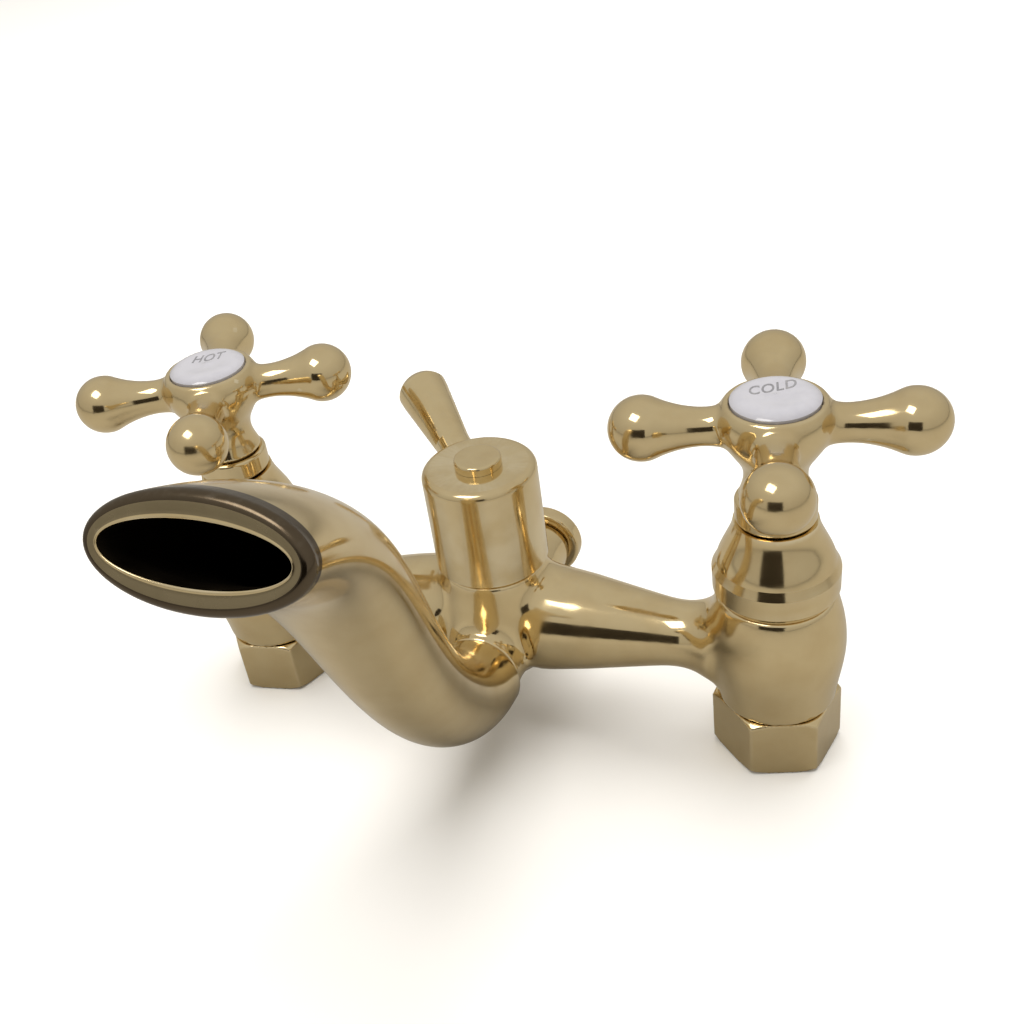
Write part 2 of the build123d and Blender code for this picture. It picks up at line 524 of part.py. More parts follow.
with BuildPart() as diverter_hub:
    tube_up(0, HUB_BOTTOM_Z, HUB_TOP_Z, HUB_R)
    fillet(diverter_hub.edges().filter_by(GeomType.CIRCLE).sort_by(Axis.Z)[-1], radius=2.2)
    chamfer(diverter_hub.edges().filter_by(GeomType.CIRCLE).sort_by(Axis.Z)[0], length=0.6)
    tube_up(0, HUB_BOTTOM_Z - 1, HUB_CAVITY_TOP_Z, HUB_CAVITY_R, mode=Mode.SUBTRACT)
    tube_up(0, HUB_CAVITY_TOP_Z, DIVERTER_SHOULDER_Z + 0.1, STEM_R + PRESS, mode=Mode.SUBTRACT)
    tube_up(0, DIVERTER_SHOULDER_Z, DIVERTER_STEM_TOP_Z + 0.1, STEM_SPLINE_R + PRESS, mode=Mode.SUBTRACT)
    tube_up(0, DIVERTER_STEM_TOP_Z, HUB_TOP_Z + 1, SCREW_R + 0.1, mode=Mode.SUBTRACT)
    socket_r = LEVER_NECK_R + PRESS
    socket = [(0, 0), (0, socket_r), (LEVER_NECK_L, socket_r), (LEVER_NECK_L, 0)]
    turned(LEVER_PLANE, LEVER_AXIS, socket, mode=Mode.SUBTRACT)
    shank_hole = [(-6, 0), (-6, SCREW_R + PRESS), (0, SCREW_R + PRESS), (0, 0)]
    turned(LEVER_PLANE, LEVER_AXIS, shank_hole, mode=Mode.SUBTRACT)
save(diverter_hub, "diverter_hub")

with BuildPart() as diverter_lever:
    shank = [(-5, 0), (-5, SCREW_R), (0, SCREW_R), (0, LEVER_NECK_R), (LEVER_NECK_L, LEVER_NECK_R)]
    shank.append((LEVER_LENGTH - 6, LEVER_END_R - 0.1))
    tip = [(LEVER_LENGTH - 3.6, LEVER_END_R), (LEVER_LENGTH - 1.0, LEVER_END_R * 0.72), (LEVER_LENGTH, 0)]
    turned(LEVER_PLANE, LEVER_AXIS, shank, curve=tip)
save(diverter_lever, "diverter_lever")

with BuildPart() as diverter_cap_screw:
    tube_up(0, HUB_TOP_Z + 0.05, CAP_TOP_Z, CAP_R)
    fillet(diverter_cap_screw.edges().filter_by(GeomType.CIRCLE).sort_by(Axis.Z)[-1], radius=0.7)
    tube_up(0, DIVERTER_SHOULDER_Z + 2, HUB_TOP_Z + 0.05, SCREW_R)
save(diverter_cap_screw, "diverter_cap_screw")
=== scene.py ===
import logging
import math
from dataclasses import dataclass
from enum import Enum, IntEnum

import bmesh
import bpy
import numpy as np
from mathutils import Matrix, Vector
from mathutils.bvhtree import BVHTree


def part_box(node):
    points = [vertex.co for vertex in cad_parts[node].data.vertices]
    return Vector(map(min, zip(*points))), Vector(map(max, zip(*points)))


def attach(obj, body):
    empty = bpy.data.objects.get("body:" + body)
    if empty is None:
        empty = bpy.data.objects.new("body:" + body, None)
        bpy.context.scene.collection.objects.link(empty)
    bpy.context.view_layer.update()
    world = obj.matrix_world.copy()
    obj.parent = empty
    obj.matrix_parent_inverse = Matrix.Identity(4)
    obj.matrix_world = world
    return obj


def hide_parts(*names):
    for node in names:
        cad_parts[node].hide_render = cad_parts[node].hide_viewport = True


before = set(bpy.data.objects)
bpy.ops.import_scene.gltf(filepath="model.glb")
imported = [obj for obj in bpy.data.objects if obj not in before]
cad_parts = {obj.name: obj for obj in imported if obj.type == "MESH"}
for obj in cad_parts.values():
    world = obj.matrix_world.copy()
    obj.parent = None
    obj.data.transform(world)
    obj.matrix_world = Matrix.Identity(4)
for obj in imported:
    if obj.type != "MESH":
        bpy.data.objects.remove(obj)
LOG = logging.getLogger("mixer")
MM = 0.001
Ring = list[Vector]
Colour = tuple[float, float, float]


class Slot(Enum):
    """Names of two material slots, for polished brass and porcelain."""

    BRASS = "polished_brass"
    PORCELAIN = "porcelain"


class Side(Enum):
    """The two valves, with the word each index button carries."""

    HOT = "hot"
    COLD = "cold"


class Zone(IntEnum):
    """The stretches of the spout's surface, in the order of its finishes."""

    POLISHED = 0
    RIM = 1
    BAND = 2
    INNER_EDGE = 3
    WATERWAY = 4


# ---------------------------------------------------------------- shader groups


def new_group(name: str, inputs: dict[str, float], outputs: dict[str, str]) -> tuple:
    """Start a shader node group with float inputs and the outputs asked for.

    Args:
        name: the group's name.
        inputs: float inputs with their defaults.
        outputs: output names with their socket types.

    Returns:
        The tree, its input node and its output node.
    """
    tree = bpy.data.node_groups.new(name, "ShaderNodeTree")
    for label, value in inputs.items():
        tree.interface.new_socket(label, in_out="INPUT", socket_type="NodeSocketFloat").default_value = value
    for label, kind in outputs.items():
        tree.interface.new_socket(label, in_out="OUTPUT", socket_type=kind)
    return tree, tree.nodes.new("NodeGroupInput"), tree.nodes.new("NodeGroupOutput")


def noise(tree: bpy.types.NodeTree, vector: object, scale: object, detail: float) -> bpy.types.Node:
    """Add a noise texture on a vector; scale is a socket or a number."""
    node = tree.nodes.new("ShaderNodeTexNoise")
    node.inputs["Detail"].default_value = detail
    tree.links.new(vector, node.inputs["Vector"])
    if isinstance(scale, (int, float)):
        node.inputs["Scale"].default_value = scale
    else:
        tree.links.new(scale, node.inputs["Scale"])
    return node


def ramp(tree: bpy.types.NodeTree, value: object, low: float, high: float) -> object:
    """Map a value from low..high to 0..1, clamped, and return the result socket."""
    node = tree.nodes.new("ShaderNodeMapRange")
    node.inputs["From Min"].default_value = low
    node.inputs["From Max"].default_value = high
    tree.links.new(value, node.inputs["Value"])
    return node.outputs["Result"]


def times(tree: bpy.types.NodeTree, a: object, b: object) -> object:
    """Multiply two sockets, or a socket and a number."""
    node = tree.nodes.new("ShaderNodeMath")
    node.operation = "MULTIPLY"
    for index, part in enumerate((a, b)):
        if isinstance(part, (int, float)):
            node.inputs[index].default_value = part
        else:
            tree.links.new(part, node.inputs[index])
    return node.outputs["Value"]


def wear_group() -> bpy.types.NodeTree:
    """Masks for edges rubbed bright and for hollows where tarnish gathers."""
    if "surface_wear" in bpy.data.node_groups:
        return bpy.data.node_groups["surface_wear"]
    tree, source, result = new_group(
        "surface_wear", {"Patch Scale": 90.0}, {"Edge": "NodeSocketFloat", "Hollow": "NodeSocketFloat"})
    place = tree.nodes.new("ShaderNodeTexCoord").outputs["Object"]
    pointiness = tree.nodes.new("ShaderNodeNewGeometry").outputs["Pointiness"]
    patches = noise(tree, place, source.outputs["Patch Scale"], 4.0)
    broken = ramp(tree, patches.outputs["Fac"], 0.35, 0.62)
    tree.links.new(times(tree, ramp(tree, pointiness, 0.505, 0.56), broken), result.inputs["Edge"])
    tree.links.new(times(tree, ramp(tree, pointiness, 0.495, 0.44), broken), result.inputs["Hollow"])
    return tree


def polish_group() -> bpy.types.NodeTree:
    """Fine buffing lines, tiny pits and the slow waviness of hand-polished metal."""
    if "buffed_surface" in bpy.data.node_groups:
        return bpy.data.node_groups["buffed_surface"]
    tree, source, result = new_group(
        "buffed_surface", {"Line Scale": 900.0, "Wave Scale": 45.0},
        {"Lines": "NodeSocketFloat", "Waves": "NodeSocketFloat", "Smears": "NodeSocketFloat"})
    place = tree.nodes.new("ShaderNodeTexCoord").outputs["Object"]
    stretch = tree.nodes.new("ShaderNodeMapping")
    stretch.inputs["Rotation"].default_value = (0.4, 0.7, 0.2)
    stretch.inputs["Scale"].default_value = (1.0, 0.06, 1.0)
    tree.links.new(place, stretch.inputs["Vector"])
    lines = noise(tree, stretch.outputs["Vector"], source.outputs["Line Scale"], 2.0)
    waves = noise(tree, place, source.outputs["Wave Scale"], 1.0)
    smears = noise(tree, place, times(tree, source.outputs["Wave Scale"], 2.7), 5.0)
    tree.links.new(lines.outputs["Fac"], result.inputs["Lines"])
    tree.links.new(waves.outputs["Fac"], result.inputs["Waves"])
    tree.links.new(ramp(tree, smears.outputs["Fac"], 0.4, 0.7), result.inputs["Smears"])
    return tree


def dust_group() -> bpy.types.NodeTree:
    """Thin dust that settles on faces that look up."""
    if "settled_dust" in bpy.data.node_groups:
        return bpy.data.node_groups["settled_dust"]
    tree, source, result = new_group("settled_dust", {"Grain Scale": 700.0}, {"Dust": "NodeSocketFloat"})
    place = tree.nodes.new("ShaderNodeTexCoord").outputs["Object"]
    split = tree.nodes.new("ShaderNodeSeparateXYZ")
    tree.links.new(tree.nodes.new("ShaderNodeNewGeometry").outputs["Normal"], split.inputs["Vector"])
    grains = noise(tree, place, source.outputs["Grain Scale"], 3.0)
    up = ramp(tree, split.outputs["Z"], 0.55, 1.0)
    tree.links.new(times(tree, up, ramp(tree, grains.outputs["Fac"], 0.5, 0.75)), result.inputs["Dust"])
    return tree


def place_group(tree: bpy.types.NodeTree, group: bpy.types.NodeTree, **values: float) -> bpy.types.Node:
    """Put a shader group in a material, with its own values for the named inputs."""
    node = tree.nodes.new("ShaderNodeGroup")
    node.node_tree = group
    for label, value in values.items():
        node.inputs[label.replace("_", " ")].default_value = value
    return node


# ---------------------------------------------------------------- finishes


def mixed(tree: bpy.types.NodeTree, mask: object, base: object, over: Colour) -> object:
    """Lay a colour over a base, socket or colour, by a mask and return the result socket."""
    node = tree.nodes.new("ShaderNodeMix")
    node.data_type = "RGBA"
    tree.links.new(mask, node.inputs["Factor"])
    if isinstance(base, tuple):
        node.inputs["A"].default_value = (*base, 1.0)
    else:
        tree.links.new(base, node.inputs["A"])
    node.inputs["B"].default_value = (*over, 1.0)
    return node.outputs["Result"]


def start_material(name: str) -> tuple:
    """Make a node material and return it with its tree and its Principled shader."""
    material = bpy.data.materials.new(name)
    material.use_nodes = True
    return material, material.node_tree, material.node_tree.nodes["Principled BSDF"]


def add_bump(tree: bpy.types.NodeTree, shader: bpy.types.Node, layers: list[tuple]) -> None:
    """Chain bumps into the shader's normal; each layer is (height socket, strength, distance)."""
    previous = None
    for height, strength, distance in layers:
        bump = tree.nodes.new("ShaderNodeBump")
        bump.inputs["Strength"].default_value = strength
        bump.inputs["Distance"].default_value = distance
        tree.links.new(height, bump.inputs["Height"])
        if previous is not None:
            tree.links.new(previous, bump.inputs["Normal"])
        previous = bump.outputs["Normal"]
    tree.links.new(previous, shader.inputs["Normal"])


@dataclass(frozen=True)
class Brass:
    """Brass, from mirror polish to as machined or dull inside a waterway, where tarnish is darkened further with
    painted shade.
    """

    name: str
    colour: Colour
    tarnish: Colour
    bright: Colour
    rough_low: float
    rough_high: float
    line_depth: float
    wave_depth: float
    dust: Colour = (0.55, 0.50, 0.42)
    line_scale: float = 900.0
    wave_scale: float = 45.0
    smear_share: float = 0.35
    dust_share: float = 0.10
    bump: float = 0.35

    def material(self) -> bpy.types.Material:
        """Build the material, or return it if it is already there."""
        if self.name in bpy.data.materials:
            return bpy.data.materials[self.name]
        material, tree, shader = start_material(self.name)
        wear = place_group(tree, wear_group(), Patch_Scale=90.0)
        polish = place_group(tree, polish_group(), Line_Scale=self.line_scale, Wave_Scale=self.wave_scale)
        dust = place_group(tree, dust_group(), Grain_Scale=700.0)
        shade = times(tree, polish.outputs["Smears"], self.smear_share)
        base = mixed(tree, shade, self.colour, self.tarnish)
        base = mixed(tree, wear.outputs["Hollow"], base, self.tarnish)
        base = mixed(tree, wear.outputs["Edge"], base, self.bright)
        base = mixed(tree, times(tree, dust.outputs["Dust"], self.dust_share), base, self.dust)
        tree.links.new(base, shader.inputs["Base Color"])
        span = tree.nodes.new("ShaderNodeMapRange")
        span.inputs["To Min"].default_value = self.rough_low
        span.inputs["To Max"].default_value = self.rough_high
        tree.links.new(polish.outputs["Smears"], span.inputs["Value"])
        tree.links.new(span.outputs["Result"], shader.inputs["Roughness"])
        shader.inputs["Metallic"].default_value = 1.0
        add_bump(tree, shader, [(polish.outputs["Waves"], self.bump, self.wave_depth * MM),
                                (polish.outputs["Lines"], self.bump, self.line_depth * MM)])
        return material


@dataclass(frozen=True)
class Glaze:
    """Glazed or lapped ceramic, with faint mottling and a soft unevenness in the glaze."""

    name: str
    colour: Colour
    shade: Colour
    roughness: float
    coat: float
    depth: float
    mottle_scale: float = 260.0
    ripple_scale: float = 420.0
    dust: Colour = (0.5, 0.48, 0.44)
    dust_share: float = 0.12
    coat_roughness: float = 0.04
    bump: float = 0.3

    def material(self) -> bpy.types.Material:
        """Build the material, or return it if it is already there."""
        if self.name in bpy.data.materials:
            return bpy.data.materials[self.name]
        material, tree, shader = start_material(self.name)
        place = tree.nodes.new("ShaderNodeTexCoord").outputs["Object"]
        mottle = noise(tree, place, self.mottle_scale, 4.0)
        ripple = noise(tree, place, self.ripple_scale, 1.0)
        dust = place_group(tree, dust_group(), Grain_Scale=900.0)
        base = mixed(tree, ramp(tree, mottle.outputs["Fac"], 0.42, 0.75), self.colour, self.shade)
        base = mixed(tree, times(tree, dust.outputs["Dust"], self.dust_share), base, self.dust)
        tree.links.new(base, shader.inputs["Base Color"])
        span = tree.nodes.new("ShaderNodeMapRange")
        span.inputs["To Min"].default_value = self.roughness
        span.inputs["To Max"].default_value = self.roughness * 1.7
        tree.links.new(mottle.outputs["Fac"], span.inputs["Value"])
        tree.links.new(span.outputs["Result"], shader.inputs["Roughness"])
        shader.inputs["Coat Weight"].default_value = self.coat
        shader.inputs["Coat Roughness"].default_value = self.coat_roughness
        add_bump(tree, shader, [(ripple.outputs["Fac"], self.bump, self.depth * MM)])
        return material


@dataclass(frozen=True)
class Dull:
    """Rubber, paint or plain steel: a base with grain, rubbed edges and dust."""

    name: str
    colour: Colour
    rubbed: Colour
    roughness: float
    metallic: float
    depth: float
    smear_share: float = 0.4
    dust: Colour = (0.45, 0.43, 0.40)
    dust_share: float = 0.3
    bump: float = 0.4

    def material(self) -> bpy.types.Material:
        """Build the material, or return it if it is already there."""
        if self.name in bpy.data.materials:
            return bpy.data.materials[self.name]
        material, tree, shader = start_material(self.name)
        wear = place_group(tree, wear_group(), Patch_Scale=160.0)
        polish = place_group(tree, polish_group(), Line_Scale=1400.0, Wave_Scale=120.0)
        dust = place_group(tree, dust_group(), Grain_Scale=800.0)
        base = mixed(tree, wear.outputs["Edge"], self.colour, self.rubbed)
        base = mixed(tree, times(tree, polish.outputs["Smears"], self.smear_share), base, self.rubbed)
        base = mixed(tree, times(tree, dust.outputs["Dust"], self.dust_share), base, self.dust)
        tree.links.new(base, shader.inputs["Base Color"])
        span = tree.nodes.new("ShaderNodeMapRange")
        span.inputs["To Min"].default_value = self.roughness
        span.inputs["To Max"].default_value = min(1.0, self.roughness * 1.4)
        tree.links.new(polish.outputs["Smears"], span.inputs["Value"])
        tree.links.new(span.outputs["Result"], shader.inputs["Roughness"])
        shader.inputs["Metallic"].default_value = self.metallic
        add_bump(tree, shader, [(polish.outputs["Lines"], self.bump, self.depth * MM)])
        return material


POLISHED = Brass(
    "polished_champagne_brass", colour=(0.77, 0.625, 0.365), tarnish=(0.62, 0.46, 0.23),
    bright=(0.90, 0.78, 0.54), rough_low=0.10, rough_high=0.19, line_depth=0.004, wave_depth=0.10)
# The mouth band's satin roughness is its finish; its dark brown colour is a painted dark reflection.
BAND_SATIN_AND_PAINTED_REFLECTION = Brass(
    "satin_mouth_band", colour=(0.33, 0.27, 0.165), tarnish=(0.24, 0.19, 0.11),
    bright=(0.55, 0.47, 0.32), rough_low=0.26, rough_high=0.38, line_depth=0.010, wave_depth=0.06)
# The rolled rim's near-black brown is a painted dark reflection on polished brass, not a finish of its own.
RIM_PAINTED_REFLECTION = Brass(
    "dark_rolled_rim", colour=(0.115, 0.088, 0.058), tarnish=(0.08, 0.06, 0.04),
    bright=(0.22, 0.175, 0.12), rough_low=0.16, rough_high=0.26, line_depth=0.006, wave_depth=0.08)
# The waterway is tarnished, and its near-black colour adds painted shade inside the bore.
WATERWAY = Brass(
    "tarnished_waterway", colour=(0.045, 0.035, 0.022), tarnish=(0.02, 0.015, 0.01),
    bright=(0.10, 0.08, 0.05), rough_low=0.45, rough_high=0.65, line_depth=0.03, wave_depth=0.10,
    dust=(0.05, 0.04, 0.03))
MACHINED = Brass(
    "turned_brass", colour=(0.62, 0.46, 0.22), tarnish=(0.40, 0.27, 0.11),
    bright=(0.80, 0.64, 0.36), rough_low=0.24, rough_high=0.40, line_depth=0.02, wave_depth=0.03,
    line_scale=1500.0)
PORCELAIN = Glaze(
    "glazed_porcelain", colour=(0.44, 0.44, 0.49), shade=(0.40, 0.40, 0.45), roughness=0.10, coat=0.8, depth=0.02)
CERAMIC = Glaze(
    "lapped_ceramic", colour=(0.80, 0.79, 0.75), shade=(0.70, 0.69, 0.66), roughness=0.22, coat=0.0, depth=0.01)
RUBBER = Dull(
    "black_rubber", colour=(0.018, 0.018, 0.018), rubbed=(0.06, 0.06, 0.06),
    roughness=0.55, metallic=0.0, depth=0.03)
STEEL = Dull(
    "plain_steel", colour=(0.35, 0.35, 0.36), rubbed=(0.60, 0.60, 0.62),
    roughness=0.28, metallic=1.0, depth=0.01)
ENAMEL = Dull(
    "grey_enamel", colour=(0.17, 0.17, 0.19), rubbed=(0.26, 0.26, 0.28),
    roughness=0.35, metallic=0.0, depth=0.005)
SPOUT_FINISHES = {
    Zone.POLISHED: POLISHED, Zone.RIM: RIM_PAINTED_REFLECTION, Zone.BAND: BAND_SATIN_AND_PAINTED_REFLECTION,
    Zone.INNER_EDGE: POLISHED, Zone.WATERWAY: WATERWAY,
}


# ---------------------------------------------------------------- mesh helpers


def dress_node(node: str, finish: Brass | Glaze | Dull) -> None:
    """Give a carried-over CAD node its material."""
    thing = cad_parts[node]
    material = finish.material()
    if not thing.material_slots:
        thing.data.materials.append(material)
    for place in thing.material_slots:
        place.material = material


def mesh_object(name: str, mesh: bpy.types.Mesh, finishes: list) -> bpy.types.Object:
    """Put a mesh in the scene at the origin, smooth and dressed."""
    thing = bpy.data.objects.new(name, mesh)
    bpy.context.scene.collection.objects.link(thing)
    mesh.materials.clear()
    for finish in finishes:
        mesh.materials.append(finish.material())
    mesh.polygons.foreach_set("use_smooth", [True] * len(mesh.polygons))
    return thing


def merged_copy(node: str) -> bpy.types.Mesh:
    """Copy a CAD node's mesh with its doubles merged."""
    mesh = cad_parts[node].data.copy()
    shape = bmesh.new()
    shape.from_mesh(mesh)
    bmesh.ops.remove_doubles(shape, verts=shape.verts, dist=1e-6)
    plain = bpy.data.meshes.new(node + "_copy")
    shape.to_mesh(plain)
    shape.free()
    return plain


def relax(mesh: bpy.types.Mesh, weights: np.ndarray, rounds: int) -> None:
    """Draw each vertex towards its neighbours' middle, by its own weight.

    Args:
        mesh: the mesh to relax in place.
        weights: one weight from 0 to 1 for each vertex.
        rounds: how many passes.
    """
    count = len(mesh.vertices)
    spots = np.empty(count * 3)
    mesh.vertices.foreach_get("co", spots)
    spots = spots.reshape(-1, 3)
    ends = np.empty(len(mesh.edges) * 2, dtype=np.int64)
    mesh.edges.foreach_get("vertices", ends)
    here = np.concatenate((ends[0::2], ends[1::2]))
    there = np.concatenate((ends[1::2], ends[0::2]))
    shares = np.maximum(np.bincount(here, minlength=count), 1)
    pull = 0.5 * weights
    for _ in range(rounds):
        for axis in range(3):
            middle = np.bincount(here, weights=spots[there, axis], minlength=count) / shares
            spots[:, axis] += pull * (middle - spots[:, axis])
    mesh.vertices.foreach_set("co", spots.ravel())
    mesh.update()


def step_up(values: np.ndarray, low: float, high: float) -> np.ndarray:
    """Rise smoothly from 0 at low to 1 at high; low may be the larger."""
    share = np.clip((values - low) / (high - low), 0.0, 1.0)
    return share * share * (3 - 2 * share)


def evenly_meshed(node: str, voxel: float) -> bpy.types.Mesh:
    """Remake a CAD node's surface with even faces of a size in millimetres."""
    rough = bpy.data.objects.new(node + "_rough", merged_copy(node))
    bpy.context.scene.collection.objects.link(rough)
    remesh = rough.modifiers.new("even", "REMESH")
    remesh.mode = "VOXEL"
    remesh.voxel_size = voxel * MM
    bpy.context.view_layer.update()
    made = bpy.data.meshes.new_from_object(rough.evaluated_get(bpy.context.evaluated_depsgraph_get()))
    bpy.data.objects.remove(rough)
    return made


def places(mesh: bpy.types.Mesh) -> np.ndarray:
    """A mesh's vertices in millimetres, one row each."""
    spots = np.empty(len(mesh.vertices) * 3)
    mesh.vertices.foreach_get("co", spots)
    return spots.reshape(-1, 3) / MM


def stand_in(name: str, node: str, mesh: bpy.types.Mesh) -> bpy.types.Object:
    """Show a remade mesh of a brass CAD node in that node's place."""
    piece = mesh_object(name, mesh, [POLISHED])
    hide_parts(node)
    return piece


def report(piece: bpy.types.Object) -> None:
    """Log a finished piece and its face count."""
    LOG.info("%s: %d faces", piece.name, len(piece.data.polygons))


# ---------------------------------------------------------------- geometry nodes


@dataclass
class ThreadTurns:
    """A screw thread's ridge, wound along a cylinder by a node tree.

    The ridge starts at base and rises along +Z before turn places it.
    """

    name: str
    radius: float
    length: float
    pitch: float = 1.8
    ridge: float = 0.62
    steps: int = 64

    def tree(self) -> bpy.types.NodeTree:
        """Build the node tree once: a spiral, a triangular ridge, and the material."""
        if "thread_turns" in bpy.data.node_groups:
            return bpy.data.node_groups["thread_turns"]
        tree = bpy.data.node_groups.new("thread_turns", "GeometryNodeTree")
        face = tree.interface
        for label, value in (("Radius", 0.01), ("Length", 0.01), ("Pitch", 0.002), ("Ridge", 0.0006)):
            face.new_socket(label, in_out="INPUT", socket_type="NodeSocketFloat").default_value = value
        face.new_socket("Steps", in_out="INPUT", socket_type="NodeSocketInt").default_value = self.steps
        face.new_socket("Material", in_out="INPUT", socket_type="NodeSocketMaterial")
        face.new_socket("Geometry", in_out="OUTPUT", socket_type="NodeSocketGeometry")
        nodes, links = tree.nodes, tree.links
        source, result = nodes.new("NodeGroupInput"), nodes.new("NodeGroupOutput")
        turns = nodes.new("ShaderNodeMath")
        turns.operation = "DIVIDE"
        links.new(source.outputs["Length"], turns.inputs[0])
        links.new(source.outputs["Pitch"], turns.inputs[1])
        spiral = nodes.new("GeometryNodeCurveSpiral")
        links.new(source.outputs["Steps"], spiral.inputs["Resolution"])
        links.new(turns.outputs["Value"], spiral.inputs["Rotations"])
        links.new(source.outputs["Radius"], spiral.inputs["Start Radius"])
        links.new(source.outputs["Radius"], spiral.inputs["End Radius"])
        links.new(source.outputs["Length"], spiral.inputs["Height"])
        section = nodes.new("GeometryNodeCurvePrimitiveCircle")
        section.inputs["Resolution"].default_value = 6
        links.new(source.outputs["Ridge"], section.inputs["Radius"])
        sweep = nodes.new("GeometryNodeCurveToMesh")
        sweep.inputs["Fill Caps"].default_value = True
        links.new(spiral.outputs["Curve"], sweep.inputs["Curve"])
        links.new(section.outputs["Curve"], sweep.inputs["Profile Curve"])
        real = nodes.new("GeometryNodeRealizeInstances")
        links.new(sweep.outputs["Mesh"], real.inputs["Geometry"])
        dress = nodes.new("GeometryNodeSetMaterial")
        links.new(real.outputs["Geometry"], dress.inputs["Geometry"])
        links.new(source.outputs["Material"], dress.inputs["Material"])
        links.new(dress.outputs["Geometry"], result.inputs["Geometry"])
        return tree

    def build(self, turn: Matrix, finish: Brass) -> bpy.types.Object:
        """Wind the thread and put it in place.

        Args:
            turn: where the thread's base and axis go, in metres.
            finish: its finish.

        Returns:
            The thread as a plain mesh piece.
        """
        holder = bpy.data.objects.new(self.name + "_holder", bpy.data.meshes.new(self.name + "_holder"))
        bpy.context.scene.collection.objects.link(holder)
        modifier = holder.modifiers.new("thread", "NODES")
        modifier.node_group = self.tree()
        values = {"Radius": self.radius * MM, "Length": self.length * MM, "Pitch": self.pitch * MM,
                  "Ridge": self.ridge * MM, "Steps": self.steps, "Material": finish.material()}
        for item in modifier.node_group.interface.items_tree:
            if item.in_out == "INPUT":
                modifier[item.identifier] = values[item.name]
        bpy.context.view_layer.update()
        made = bpy.data.meshes.new_from_object(holder.evaluated_get(bpy.context.evaluated_depsgraph_get()))
        bpy.data.objects.remove(holder)
        made.transform(turn)
        shape = bmesh.new()
        shape.from_mesh(made)
        bmesh.ops.recalc_face_normals(shape, faces=shape.faces)
        shape.to_mesh(made)
        shape.free()
        piece = mesh_object(self.name, made, [finish])
        return piece


# ---------------------------------------------------------------- sub-assemblies


@dataclass
class BodyCasting:
    """The barrel, bridge arms and valve shells cast in one, with wide radii where they meet."""

    voxel: float = 0.62
    rounds: int = 5
    blend_rounds: int = 90
    blend_low: float = 18.5
    blend_high: float = 46.0
    rim: float = 2.5
    outlet_fade: tuple = (34.0, 31.0)
    spout_fade: tuple = (-18.0, -15.0)
    barrel_join: tuple = (27.0, 21.0)
    shell_join: tuple = (50.0, 56.0)
    shell_end: tuple = (71.0, 64.0)

    def build(self) -> bpy.types.Object:
        """Remake the casting and melt its joins, but not its rims."""
        mesh = evenly_meshed("mixer_body", self.voxel)
        spots = places(mesh)
        across, along, height = np.abs(spots[:, 0]), spots[:, 1], spots[:, 2]
        inside = step_up(height, self.blend_low, self.blend_low + self.rim)
        inside *= step_up(height, self.blend_high + self.rim, self.blend_high)
        inside *= step_up(along, *self.outlet_fade) * step_up(along, *self.spout_fade)
        joins = step_up(across, *self.barrel_join)
        joins += step_up(across, *self.shell_join) * step_up(across, *self.shell_end)
        relax(mesh, inside * np.clip(joins, 0, 1), self.blend_rounds)
        relax(mesh, np.ones(len(spots)), self.rounds)
        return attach(stand_in("body_casting", "mixer_body", mesh), "faucet_body")


